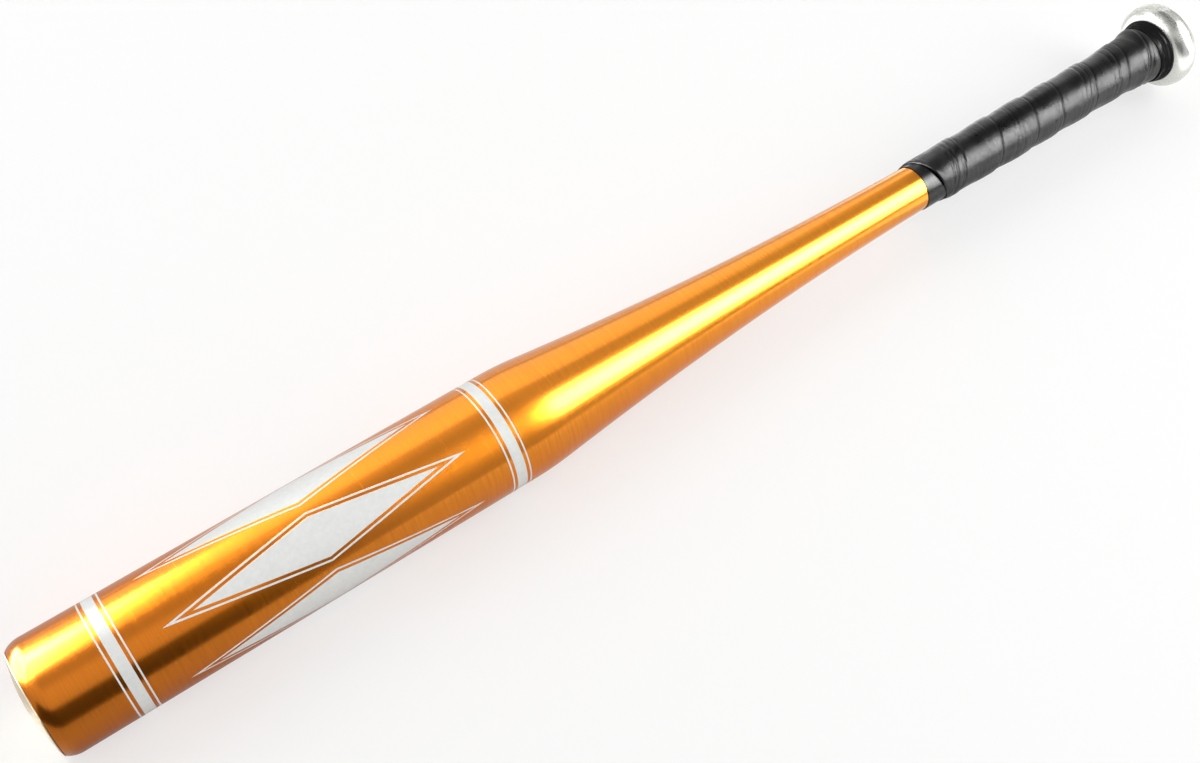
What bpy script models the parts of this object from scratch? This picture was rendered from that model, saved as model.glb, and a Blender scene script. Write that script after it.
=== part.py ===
"""A metal softball bat lying on its side, in metres.

The bat's axis runs along +X, from the barrel's domed end to the knob, and +Z is up. The
origin is on the ground under the middle of the bat. A station is a distance along the axis
from the tip of the domed end.
"""

import math

import bpy
import numpy as np
from mathutils import Vector

# Overall sizes
BAT_LENGTH = 0.7112
BARREL_DIAMETER = 0.05715
HANDLE_DIAMETER = 0.0248
GRIP_LENGTH = 0.1841
SIDES = 48

# The one-piece tube: straight barrel, taper, handle and flared end
BARREL_LENGTH = 0.2568
BARREL_WALL = 0.0021
HANDLE_WALL = 0.0022
SHOULDER_RADIUS = 0.012
SHOULDER_ANGLE = math.radians(35)
KNEE_HALF_LENGTH = 0.010
TAPER_POWER = 2.08
TAPER_UNDER_GRIP = 0.037
FLARE_LENGTH = 0.041
FLARE_RADIUS = 0.200

# The domed cap on the barrel's mouth
DOME_HEIGHT = 0.0038
CAP_RIM_HEIGHT = 0.0004
CAP_RIM_STEP = 0.0002
CAP_THICKNESS = 0.0022
CAP_SKIRT_LENGTH = 0.009

# The cast knob, its weld and the plug in its vent hole
KNOB_DIAMETER = 0.0493
KNOB_THICKNESS = 0.0160
KNOB_EDGE_RADIUS = 0.0075
SPIGOT_LENGTH = 0.014
KNOB_BORE_DIAMETER = 0.0175
KNOB_FLOOR = 0.0050
VENT_DIAMETER = 0.005
PLUG_HEAD_DIAMETER = 0.0094
PLUG_HEAD_HEIGHT = 0.0012
PLUG_LENGTH = 0.011
WELD_LEG = 0.0050
WELD_HEIGHT = 0.0012

# The wound grip: a thin tape under a padded strip, and a taped collar against the knob
TAPE_THICKNESS = 0.0003
STRIP_THICKNESS = 0.0010
STRIP_PITCH = 0.025
STRIP_OVERLAP = 0.006
STRIP_SKIVED_EDGE = 0.00025
STRIP_SKIVE_WIDTH = 0.009
STRIP_LAP_EDGE = 0.00035
STRIP_START_WIDTH = 0.010
STRIP_TIP_WIDTH = 0.0015
STRIP_CORNER_INSET = 0.0008
STRIP_CUT_LENGTH = 0.0176
STRIP_TIP_ANGLE = math.radians(348.75)
STRIP_SELF_GAP = 0.00045
SECTIONS_PER_TURN = SIDES // 2
COLLAR_LENGTH = 0.0084
COLLAR_THICKNESS = 0.0007
COLLAR_LAYERS = 3
COLLAR_LAYER_STEP = 0.00022

# Clearances
SEAT_GAP = 0.0003
BORE_GAP = 0.0002
LAYER_GAP = 0.00018

# Places along the axis that follow from those sizes
BARREL_RADIUS = BARREL_DIAMETER / 2
HANDLE_RADIUS = HANDLE_DIAMETER / 2
AXIS_HEIGHT = BARREL_RADIUS * math.cos(math.pi / SIDES)
MOUTH_STATION = DOME_HEIGHT + CAP_RIM_HEIGHT + SEAT_GAP
MOUTH_RADIUS = BARREL_RADIUS - SHOULDER_RADIUS * (1 - math.cos(SHOULDER_ANGLE))
KNOB_STATION = BAT_LENGTH - KNOB_THICKNESS
TUBE_END = KNOB_STATION - SEAT_GAP
FLARE_START = TUBE_END - FLARE_LENGTH
GRIP_START = TUBE_END - GRIP_LENGTH
TAPER_END = GRIP_START + TAPER_UNDER_GRIP
COLLAR_START = TUBE_END - COLLAR_LENGTH
STRIP_END = COLLAR_START - SEAT_GAP

objects = bpy.data.objects
for leftover in list(objects):
    objects.remove(leftover, do_unlink=True)

bat = bpy.data.collections.new("softball_bat")
bpy.context.scene.collection.children.link(bat)

bat_axis = objects.new("bat_axis", None)
bat_axis.location = (-BAT_LENGTH / 2, 0, AXIS_HEIGHT)
bat_axis.rotation_euler = (0, math.pi / 2, 0)
bat.objects.link(bat_axis)


def finish(name, colour, roughness, metallic):
    material = bpy.data.materials.new(name)
    material.use_nodes = True
    shader = material.node_tree.nodes["Principled BSDF"]
    shader.inputs["Base Color"].default_value = (*colour, 1)
    shader.inputs["Roughness"].default_value = roughness
    shader.inputs["Metallic"].default_value = metallic
    material.diffuse_color = (*colour, 1)
    return material


def smooth(mesh):
    mesh.shade_smooth()
    mesh.set_sharp_from_angle(angle=math.radians(25))


def turned(name, outline, material, sides=SIDES):
    """Turns an outline of (radius, station) points round the bat's axis.

    The outline runs down the outer side from the knob towards the barrel. It is a closed
    ring, unless it starts on the axis.
    """
    mesh = bpy.data.meshes.new(name)
    count = len(outline)
    edges = [(i, i + 1) for i in range(count - 1)]
    if outline[0][0] > 0:
        edges.append((count - 1, 0))
    mesh.from_pydata([(radius, 0, station) for radius, station in outline], edges, [])
    piece = objects.new(name, mesh)
    bat.objects.link(piece)
    screw = piece.modifiers.new("turn", "SCREW")
    screw.steps = sides
    screw.render_steps = sides
    screw.use_merge_vertices = True
    screw.merge_threshold = 0.00001
    bpy.context.view_layer.objects.active = piece
    bpy.ops.object.modifier_apply(modifier=screw.name)
    smooth(mesh)
    mesh.materials.append(material)
    piece.parent = bat_axis
    piece.rotation_euler.z = math.pi / sides
    return piece


def arc(centre, radius, first, last, count):
    """Points (radius, station) on an arc. Angle 0 points away from the axis, and 90 degrees to the knob."""
    angles = np.linspace(first, last, count)
    return [(centre[0] + radius * math.cos(a), centre[1] + radius * math.sin(a)) for a in angles]


def flare_rise(station):
    reach = max(0.0, station - FLARE_START)
    return FLARE_RADIUS - math.sqrt(FLARE_RADIUS**2 - reach**2)


def tube_radius(station):
    """The tube's outer radius from the straight barrel to its flared end."""
    length = TAPER_END - BARREL_LENGTH
    past = station - BARREL_LENGTH
    if abs(past) < KNEE_HALF_LENGTH:
        past = (past + KNEE_HALF_LENGTH) ** 2 / (4 * KNEE_HALF_LENGTH)
    share = min(max(past / length, 0.0), 1.0)
    taper = (BARREL_RADIUS - HANDLE_RADIUS) * (1 - share) ** TAPER_POWER
    return HANDLE_RADIUS + taper + flare_rise(station)


def wall(station):
    """The tube's wall, which grows as the tube is drawn down to the handle."""
    drawn = min(1.0, (BARREL_RADIUS - tube_radius(station)) / (BARREL_RADIUS - HANDLE_RADIUS))
    return BARREL_WALL + (HANDLE_WALL - BARREL_WALL) * drawn


def bore_radius(station):
    return tube_radius(station) - wall(station)


def tape_radius(station):
    """The outer radius of the tape, which the padded strip lies on."""
    return tube_radius(station) + LAYER_GAP + TAPE_THICKNESS


def tube_stations():
    """Stations from the shoulder to the tube's end, close together where the outline bends."""
    knee = np.linspace(BARREL_LENGTH - KNEE_HALF_LENGTH, BARREL_LENGTH + KNEE_HALF_LENGTH, 5)
    taper = knee[-1] + (TAPER_END - knee[-1]) * np.linspace(0, 1, 12)[1:] ** 0.9
    flare = np.linspace(FLARE_START, TUBE_END, 7)
    return [*knee, *taper, *flare]


def make_tube(material):
    shoulder_station = MOUTH_STATION + SHOULDER_RADIUS * math.sin(SHOULDER_ANGLE)
    shoulder_centre = (BARREL_RADIUS - SHOULDER_RADIUS, shoulder_station)
    stations = tube_stations()
    outer = [(tube_radius(s), s) for s in reversed(stations)]
    shoulder = arc(shoulder_centre, SHOULDER_RADIUS, 0, -SHOULDER_ANGLE, 5)
    inner_radius = SHOULDER_RADIUS - BARREL_WALL
    inner_angle = math.asin((shoulder_station - MOUTH_STATION) / inner_radius)
    inner_shoulder = arc(shoulder_centre, inner_radius, -inner_angle, 0, 4)
    bore = [(bore_radius(s), s) for s in stations]
    return turned("bat_tube", outer + shoulder + inner_shoulder + bore, material)


def mouth_bore_radius():
    """The least radius inside the rolled mouth, which the cap's skirt passes."""
    inner_radius = SHOULDER_RADIUS - BARREL_WALL
    depth = SHOULDER_RADIUS * math.sin(SHOULDER_ANGLE)
    return BARREL_RADIUS - SHOULDER_RADIUS + math.sqrt(inner_radius**2 - depth**2)


def dome(rim_radius, height, tip_station, count):
    """Points on a shallow spherical dome, from its rim to its tip on the axis."""
    sphere = (rim_radius**2 + height**2) / (2 * height)
    rim_angle = math.asin(rim_radius / sphere)
    angles = np.linspace(rim_angle, 0, count)
    return [(sphere * math.sin(a), tip_station + sphere * (1 - math.cos(a))) for a in angles]


def make_end_cap(material):
    rim_radius = MOUTH_RADIUS - CAP_RIM_STEP
    rim_station = DOME_HEIGHT + CAP_RIM_HEIGHT
    skirt_radius = mouth_bore_radius() - SEAT_GAP
    skirt_end = rim_station + CAP_SKIRT_LENGTH
    inside = dome(skirt_radius - CAP_THICKNESS, DOME_HEIGHT, CAP_THICKNESS, 5)[::-1]
    skirt = [
        (skirt_radius - CAP_THICKNESS, skirt_end),
        (skirt_radius - CAP_THICKNESS / 3, skirt_end),
        (skirt_radius, skirt_end - CAP_THICKNESS / 2),
        (skirt_radius, rim_station),
        (rim_radius, rim_station),
    ]
    outside = dome(rim_radius, DOME_HEIGHT, 0, 8)
    return turned("end_cap", inside + skirt + outside, material)


def make_knob(material):
    """The cast knob: round edges, a flat end with a vent hole, and a hollow spigot in the flared tube."""
    edge_centre = KNOB_DIAMETER / 2 - KNOB_EDGE_RADIUS
    quarter = math.pi / 2
    far_edge = arc((edge_centre, BAT_LENGTH - KNOB_EDGE_RADIUS), KNOB_EDGE_RADIUS, quarter, 0, 7)
    near_edge = arc((edge_centre, KNOB_STATION + KNOB_EDGE_RADIUS), KNOB_EDGE_RADIUS, 0, -quarter, 7)
    spigot_end = KNOB_STATION - SPIGOT_LENGTH
    spigot = [(bore_radius(s) - BORE_GAP, s) for s in np.linspace(KNOB_STATION, spigot_end, 4)]
    step_station = BAT_LENGTH - PLUG_HEAD_HEIGHT - SEAT_GAP
    floor_station = BAT_LENGTH - KNOB_FLOOR
    vent = [
        (KNOB_BORE_DIAMETER / 2, spigot_end),
        (KNOB_BORE_DIAMETER / 2, floor_station),
        (VENT_DIAMETER / 2, floor_station),
        (VENT_DIAMETER / 2, step_station),
        (PLUG_HEAD_DIAMETER / 2 + BORE_GAP, step_station),
        (PLUG_HEAD_DIAMETER / 2 + BORE_GAP, BAT_LENGTH),
    ]
    return turned("knob", far_edge + near_edge + spigot + vent, material)


def make_vent_plug(material):
    shank_radius = VENT_DIAMETER / 2 - BORE_GAP
    head_radius = PLUG_HEAD_DIAMETER / 2
    head_top = BAT_LENGTH - LAYER_GAP
    head_base = BAT_LENGTH - PLUG_HEAD_HEIGHT
    chamfer = shank_radius / 3
    outline = [
        (0, head_top),
        (head_radius - chamfer / 2, head_top),
        (head_radius, head_top - chamfer / 2),
        (head_radius, head_base),
        (shank_radius, head_base),
        (shank_radius, BAT_LENGTH - PLUG_LENGTH + chamfer),
        (shank_radius - chamfer, BAT_LENGTH - PLUG_LENGTH),
        (0, BAT_LENGTH - PLUG_LENGTH),
    ]
    return turned("vent_plug", outline, material, SIDES // 2)


def weld_outline():
    """The crown of the fillet weld, from the knob's face down to the tube."""
    top = (tube_radius(TUBE_END) + WELD_HEIGHT, TUBE_END)
    foot = (tube_radius(TUBE_END - WELD_LEG) + BORE_GAP, TUBE_END - WELD_LEG)
    crown = []
    for share in np.linspace(0, 1, 5):
        bulge = WELD_HEIGHT / 3 * math.sin(math.pi * share)
        radius = top[0] + (foot[0] - top[0]) * share + bulge
        crown.append((radius, top[1] + (foot[1] - top[1]) * share))
    return crown


def make_weld(material):
    crown = weld_outline()
    under = [(tube_radius(s) + LAYER_GAP / 2, s) for s in np.linspace(TUBE_END - WELD_LEG, TUBE_END, 3)]
    return turned("knob_weld", crown + under, material)


def make_handle_tape(material):
    stations = [
        *np.linspace(GRIP_START, TAPER_END, 5),
        *np.linspace(FLARE_START, STRIP_END, 6),
    ]
    outer = [(tape_radius(s), s) for s in reversed(stations)]
    inner = [(tape_radius(s) - TAPE_THICKNESS, s) for s in stations]
    return turned("handle_tape", outer + inner, material)


def make_collar(material):
    """Turns of tape that cover the weld, each layer set back a little from the one below."""
    crown = weld_outline()
    weld_edge = crown[-1][1]
    under = [(tube_radius(s) + LAYER_GAP, s) for s in (COLLAR_START, weld_edge)]
    under += [(radius + LAYER_GAP, station) for radius, station in reversed(crown)]
    low = tape_radius(COLLAR_START) + LAYER_GAP + STRIP_THICKNESS + LAYER_GAP
    high = crown[0][0] + LAYER_GAP + COLLAR_THICKNESS
    outer = [(high, TUBE_END)]
    for layer in range(COLLAR_LAYERS, 0, -1):
        share = (layer - 0.5) / (COLLAR_LAYERS + 0.5)
        station = COLLAR_START + (TUBE_END - COLLAR_START) * share
        radius = low + (high - low) * share
        outer += [(radius + COLLAR_LAYER_STEP, station), (radius - COLLAR_LAYER_STEP, station)]
    outer.append((low, COLLAR_START))
    return turned("collar_tape", outer + under, material)


def skived_top(across):
    """Height of the strip's outer face above the tape, near its skived edge on the barrel side."""
    share = min(1.0, max(0.0, across / STRIP_SKIVE_WIDTH))
    return STRIP_SKIVED_EDGE + (STRIP_THICKNESS - STRIP_SKIVED_EDGE) * share


def lap_rise(across):
    """How far the strip lifts over the skived edge of the turn wound before it."""
    climb_end = STRIP_PITCH - STRIP_SELF_GAP
    climb_start = climb_end - 3 * STRIP_SELF_GAP
    share = min(1.0, max(0.0, (across - climb_start) / (climb_end - climb_start)))
    return share * (skived_top(across - STRIP_PITCH) + STRIP_SELF_GAP)


def strip_section(turn, last_turn, corner_turn):
    """The strip's cross-section, as (radius, station) points, after so many turns from the knob."""
    width = STRIP_PITCH + STRIP_OVERLAP
    edge = STRIP_END - STRIP_START_WIDTH - STRIP_PITCH * turn
    lapped = min(1.0, max(0.0, (turn - 0.80) / 0.15))
    cut = max(0.0, (turn - corner_turn) / (last_turn - corner_turn))
    corner = STRIP_END - STRIP_START_WIDTH - STRIP_PITCH * corner_turn
    near = max(0.0, (corner + STRIP_CUT_LENGTH * cut - edge) if cut > 0 else 0.0)
    far = min(width, STRIP_END - edge)
    climb_end = STRIP_PITCH - STRIP_SELF_GAP
    breaks = [
        0,
        STRIP_SKIVE_WIDTH / 2,
        STRIP_SKIVE_WIDTH,
        climb_end - 6 * STRIP_SELF_GAP,
        climb_end - 3 * STRIP_SELF_GAP,
        climb_end,
        STRIP_PITCH + STRIP_OVERLAP / 2,
        width,
    ]
    spacing = STRIP_TIP_WIDTH / len(breaks)
    outer, inner = [], []
    for index, across in enumerate(breaks):
        after = len(breaks) - 1 - index
        across = min(max(across, near + index * spacing), far - after * spacing)
        station = edge + across
        base = tape_radius(station) + LAYER_GAP + lapped * lap_rise(across)
        thinned = min(1.0, max(0.0, (across - STRIP_PITCH + STRIP_OVERLAP) / (2 * STRIP_OVERLAP)))
        thickness = skived_top(across) - lapped * thinned * (STRIP_THICKNESS - STRIP_LAP_EDGE)
        inner.append((base, station))
        outer.append((base + thickness, station))
    return outer + inner[::-1]


def strip_sections():
    """Every cross-section of the strip with its angle, from its start at the knob to its cut tip."""
    start = STRIP_END - STRIP_START_WIDTH
    corner_turn = (start - GRIP_START - STRIP_CORNER_INSET) / STRIP_PITCH
    tip_edge = GRIP_START + STRIP_CORNER_INSET + STRIP_CUT_LENGTH
    last_turn = (start + STRIP_PITCH + STRIP_OVERLAP - tip_edge - STRIP_TIP_WIDTH) / STRIP_PITCH
    count = round(last_turn * SECTIONS_PER_TURN)
    sections = []
    for index in range(count + 1):
        turn = last_turn - (count - index) / SECTIONS_PER_TURN
        angle = STRIP_TIP_ANGLE - (last_turn - turn) * 2 * math.pi
        sections.append((angle, strip_section(turn, last_turn, corner_turn)))
    return sections


def along_edges(section, pieces=8):
    points = np.array(section)
    steps = np.linspace(0, 1, pieces, endpoint=False)[:, None]
    return np.concatenate([a + (b - a) * steps for a, b in zip(points, np.roll(points, -1, 0))])


def least_self_gap(sections):
    """The least distance between one turn of the strip and the next, where both cross one plane."""
    gaps = []
    for index in range(len(sections) - SECTIONS_PER_TURN):
        below = along_edges(sections[index][1])
        above = along_edges(sections[index + SECTIONS_PER_TURN][1])
        gaps.append(np.linalg.norm(below[:, None] - above[None], axis=2).min())
    return min(gaps)


def make_grip_strip(material):
    """One unbroken padded strip, wound from the knob to a long diagonal cut, each turn over the last."""
    sections = strip_sections()
    print(f"grip_strip: least gap to itself {1000 * least_self_gap(sections):.2f} mm")
    points = []
    faces = []
    ring = len(sections[0][1])
    for index, (angle, section) in enumerate(sections):
        around = Vector((math.cos(angle), math.sin(angle), 0))
        points += [radius * around + Vector((0, 0, station)) for radius, station in section]
        for corner in range(ring * (index > 0)):
            here = index * ring + corner
            beside = index * ring + (corner + 1) % ring
            faces.append((here, beside, beside - ring, here - ring))
    faces.append(range(ring))
    faces.append(range(len(points) - 1, len(points) - 1 - ring, -1))
    mesh = bpy.data.meshes.new("grip_strip")
    mesh.from_pydata(points, [], faces)
    smooth(mesh)
    mesh.materials.append(material)
    piece = objects.new("grip_strip", mesh)
    bat.objects.link(piece)
    piece.parent = bat_axis
    return piece


gold = finish("gold_anodised_aluminium", (0.80, 0.33, 0.02), 0.28, 1.0)
pale_gold = finish("satin_gold_aluminium", (0.83, 0.45, 0.12), 0.40, 1.0)
silver = finish("polished_aluminium", (0.80, 0.80, 0.78), 0.22, 1.0)
weld_metal = finish("weld_aluminium", (0.55, 0.55, 0.54), 0.55, 1.0)
vinyl = finish("black_vinyl_tape", (0.012, 0.012, 0.013), 0.30, 0.0)
padded = finish("black_padded_strip", (0.022, 0.022, 0.022), 0.48, 0.0)
rubber = finish("black_rubber", (0.02, 0.02, 0.02), 0.70, 0.0)

make_tube(gold)
make_end_cap(pale_gold)
make_knob(silver)
make_weld(weld_metal)
make_vent_plug(rubber)
make_handle_tape(vinyl)
make_grip_strip(padded)
make_collar(vinyl)
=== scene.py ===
"""A gold aluminium softball bat with a wound black grip, on a pale studio floor.

The bat's axis runs along +X, from the barrel's domed end to the knob. A station is a distance
along the axis from the tip of the domed end, and an angle round the axis starts at +Y and
turns towards +Z. Sizes are in metres.
"""

import math

import bpy
import numpy as np
from mathutils import Matrix, Vector, noise


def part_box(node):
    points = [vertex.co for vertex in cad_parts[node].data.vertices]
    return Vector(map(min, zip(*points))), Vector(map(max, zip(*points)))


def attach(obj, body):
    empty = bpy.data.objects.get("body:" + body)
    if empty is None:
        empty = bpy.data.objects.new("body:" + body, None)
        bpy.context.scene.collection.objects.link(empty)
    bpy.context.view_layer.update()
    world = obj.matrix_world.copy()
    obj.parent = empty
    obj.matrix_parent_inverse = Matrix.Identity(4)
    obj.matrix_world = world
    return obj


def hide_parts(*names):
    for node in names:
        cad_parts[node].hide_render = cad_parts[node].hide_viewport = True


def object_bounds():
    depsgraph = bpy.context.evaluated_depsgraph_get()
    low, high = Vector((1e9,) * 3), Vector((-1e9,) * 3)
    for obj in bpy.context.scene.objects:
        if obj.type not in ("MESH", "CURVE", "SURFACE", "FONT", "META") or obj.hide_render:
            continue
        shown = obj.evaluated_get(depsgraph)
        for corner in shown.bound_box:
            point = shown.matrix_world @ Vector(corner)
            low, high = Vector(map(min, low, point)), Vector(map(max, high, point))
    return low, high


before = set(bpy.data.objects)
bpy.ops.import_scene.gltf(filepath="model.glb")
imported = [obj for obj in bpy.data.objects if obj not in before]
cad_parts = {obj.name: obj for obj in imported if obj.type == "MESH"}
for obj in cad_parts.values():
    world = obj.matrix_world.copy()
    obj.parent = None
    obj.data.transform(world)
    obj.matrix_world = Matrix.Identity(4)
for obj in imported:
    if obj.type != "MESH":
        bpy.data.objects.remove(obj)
cad_low, cad_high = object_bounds()

# The bat's place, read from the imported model
TIP_X = cad_low.x
AXIS_HEIGHT = (cad_low.z + cad_high.z) / 2
BARREL_RADIUS = (cad_high.z - cad_low.z) / 2
BAT_LENGTH = cad_high.x - cad_low.x
TUBE_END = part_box("bat_tube")[1].x - TIP_X
MOUTH_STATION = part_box("bat_tube")[0].x - TIP_X
TAPE_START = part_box("handle_tape")[0].x - TIP_X
COLLAR_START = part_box("collar_tape")[0].x - TIP_X
COLLAR_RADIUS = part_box("collar_tape")[1].y
KNOB_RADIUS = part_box("knob")[1].y

# The CAD's sides are flats, and this share of each radius stays inside them
INSIDE_FLATS = math.cos(math.pi / 48)

# Turned pieces: how many sides they have, and the angle up to which an edge is smoothed
SIDES = 256
TURNED_SMOOTH_DEGREES = 28

# The tube
HANDLE_RADIUS = 0.0124 * INSIDE_FLATS
BARREL_LENGTH = 0.2568
KNEE_HALF_LENGTH = 0.010
TAPER_UNDER_GRIP = 0.037
TAPER_END = TAPE_START + TAPER_UNDER_GRIP
TAPER_POWER = 2.08
FLARE_LENGTH = 0.041
FLARE_START = TUBE_END - FLARE_LENGTH
FLARE_RADIUS = 0.200
TUBE_WALL = 0.0021
SHOULDER_RADIUS = 0.012
SHOULDER_DEGREES = 35
INNER_LIP_DEGREES = 44

# The domed cap
DOME_HEIGHT = 0.0038
DOME_SHARE = 0.992
CAP_RIM_STATION = 0.0042
CAP_RIM_ROUNDING = 0.0002
CAP_INNER_DEPTH = 0.0020
CAP_INNER_SHARE = 0.90
SKIRT_INSET = 0.0031
SKIRT_CHAMFER = 0.0006
SKIRT_FILLET = 0.0003

# The knob
KNOB_THICKNESS = 0.0160
KNOB_STATION = BAT_LENGTH - KNOB_THICKNESS
KNOB_EDGE_RADIUS = 0.0075
KNOB_FLOOR = 0.0050
SPIGOT_LENGTH = 0.014
SPIGOT_GAP = 0.0004
BORE_RADIUS = 0.00872
RECESS_RADIUS = 0.0054
RECESS_FLOOR_RADIUS = 0.0049
RECESS_DEPTH = 0.0015
RECESS_CHAMFER = 0.0003
VENT_RADIUS = 0.0025

# The rubber plug in the knob's vent
PLUG_SIDES = 96
PLUG_SETBACK = 0.00018
PLUG_HEAD_RADIUS = 0.0047
PLUG_HEAD_ROUNDING = 0.0004
PLUG_HEAD_UNDERSIDE = 0.0012
PLUG_SHANK_RADIUS = 0.0023
PLUG_LENGTH = 0.0110
PLUG_CHAMFER = 0.0008

# The smooth tape: its two faces over the tube
TAPE_TOP = 0.00048
TAPE_UNDERSIDE = 0.00018
TAPE_EDGE_DROP = 0.0001
TAPE_COLLAR_GAP = 0.00005

# The taped collar, from the foot where the strip stops
COLLAR_SETBACK = 0.0012
COLLAR_FOOT = COLLAR_START + COLLAR_SETBACK
COLLAR_FOOT_DROP = 0.0001
COLLAR_TOP = COLLAR_RADIUS * 0.998
COLLAR_TURNS = 4
COLLAR_FIRST_EDGE = 0.35
COLLAR_SWELL = 0.9
COLLAR_EDGE_WIDTH = 0.0002
COLLAR_EDGE_HEIGHTS = (-0.00022, 0.0, 0.00006)
COLLAR_OVER_WELD = 0.0017
COLLAR_WELD_REACH = 0.004
COLLAR_OVER_TAPE = 0.0003

# The padded strip. SEAMS are the stations of its knob-side edge at the front of the bat, one turn
# after another, from turn FIRST_SEAM_TURN at the knob to past LAST_TURN, where the strip is cut.
SEAMS = (0.7450, 0.7178, 0.6914, 0.6654, 0.6402, 0.6131, 0.5939, 0.5668, 0.5391, 0.5115)
FIRST_SEAM_TURN = -3
LAST_TURN = 5
SEAM_EVENING = (-0.12, -0.04, 0.04, 0.12)
FRONT_ANGLE = math.radians(119.4)
STRIP_START_TURN = -1.70
SECTIONS_PER_TURN = 96
POINTS_ACROSS = 110
STRIP_SMOOTH_DEGREES = 40
STRIP_WIDTH = 0.0362
STRIP_THICKNESS = 0.0010
STRIP_LEAST_WIDTH = 0.0006
STRIP_COLLAR_GAP = 0.0001
SKIVE_WIDTH = 0.009
SKIVE_START = -0.002
SKIVED_EDGE = 0.00030
LAP_EDGE = 0.00045
LAP_THIN_START = -0.001
LAYER_GAP = 0.00016
UNDERSIDE_CLIMB = 0.0016
LAP_SWELL_WIDTH = 0.0075
LAP_SWELL_END = 0.0006
SEAM_GROOVE_DEPTH = 0.00042
SEAM_GROOVE_WIDTH = 0.0021
SEAM_ROUNDING = 0.0011
EDGE_SHARE = 0.55
DRIFT_HEIGHT = 0.00007
DRIFT_ALONG = 160
DRIFT_ROUND = 1.6

# Creases in the lap: how far past the turn below its barrel side they lie, their depth and half width
CREASES = ((0.0000, 0.00026, 0.0009), (0.0034, 0.00030, 0.0008), (0.0066, 0.00020, 0.0006))
CREASE_SWAY = 0.0016
CREASE_SWAY_CYCLES = 1.9
CREASE_DEPTH_CYCLES = 2.7
CREASE_SHARE = 0.45
CREASE_SHARE_SPREAD = 1.3
CREASE_NOISE_STEP = 7.3
CREASE_DEPTH_ROW = 5

# The diagonal cut. Its edge is lifted off the tape at the front, is rolled over until ROLLED_TURNS,
# and thins over TIP_THIN_TURNS towards the tip.
CUT_CORNER_TURN = LAST_TURN - 110 / 360
CUT_TIP_TURN = LAST_TURN + 133 / 360
CUT_CORNER_STATION = 0.5116
CUT_TIP_STATION = 0.5289
CUT_ROUNDING = 0.0006
CUT_LIFT_HEIGHT = 0.00095
CUT_LIFT_WIDTH = 0.0060
CUT_LIFT_TURN = LAST_TURN + 3 / 360
CUT_LIFT_TURNS = 0.075
ROLL_START_TURNS = 0.08
ROLLED_TURNS = (LAST_TURN - 25 / 360, LAST_TURN - 8 / 360)
ROLLED_ROUNDING = 0.0005
TIP_THIN_TURNS = (LAST_TURN + 15 / 360, LAST_TURN + 60 / 360)
TIP_THIN_REACH = (0.002, 0.012)
TIP_THIN_SHARE = 0.40
TIP_ROUNDING = 0.0030
THIN_EDGE_LOSS = 0.35

# The strip's end beside the collar, gathered into a hollow and a swell
GATHER_LENGTH = 0.0105
GATHER_STATION = COLLAR_FOOT - GATHER_LENGTH
GATHER_DEPTH = 0.00034
GATHER_SHARE = 0.7
GATHER_SHARE_SPREAD = 0.9
GATHER_ROUND = 1.7
GATHER_ROW = 3.0

# The printed pattern: a ring of long lozenges with fine outlines, between two ring bands
LOZENGES_ROUND = 6
LOZENGE_STATION = 0.140
LOZENGE_HALF_LENGTH = 0.062
LOZENGE_HALF_WIDTH = 0.0104
LOZENGE_OUTLINE = (1.14, 1.23)
RING_BANDS = ((0.0400, 0.0455), (0.2345, 0.2400))
PIN_LINES = ((0.0376, 0.0384), (0.0471, 0.0479), (0.2321, 0.2329), (0.2416, 0.2424))

# Colours. A pair is the two ends of a finish's own variation.
BARREL_GOLD = ((0.93, 0.252, 0.004), (0.98, 0.274, 0.005))
HANDLE_GOLD = ((0.93, 0.318, 0.009), (0.98, 0.348, 0.012))
DYE_STATIONS = (0.06, 0.40)
STREAK_GOLD = (0.66, 0.17, 0.004)
CLOUD_GOLD = (0.80, 0.20, 0.005)
SPECK_GOLD = (0.35, 0.08, 0.002)
WHITE_INK = ((0.71, 0.72, 0.70), (0.79, 0.795, 0.78))
INK_ROUGHNESS = 0.42
PALE_GOLD = ((0.96, 0.83, 0.60), (0.98, 0.89, 0.70))
PALE_GOLD_CLOUD = (0.93, 0.74, 0.46)
CAST_ALUMINIUM = ((0.68, 0.68, 0.645), (0.73, 0.725, 0.685))
CASTING_PITS = (0.45, 0.45, 0.43)
WELD_METAL = ((0.40, 0.40, 0.39), (0.62, 0.62, 0.60))
BLACK_RUBBER = ((0.014, 0.014, 0.014), (0.024, 0.024, 0.024))
BLACK_VINYL = ((0.0025, 0.0025, 0.003), (0.005, 0.005, 0.005))
BLACK_CLOTH = ((0.002, 0.002, 0.002), (0.005, 0.005, 0.005))
BLACK_LEATHER = ((0.003, 0.003, 0.0028), (0.006, 0.006, 0.0057))
PALE_FLOOR = ((0.705, 0.705, 0.70), (0.715, 0.715, 0.71))

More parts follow.
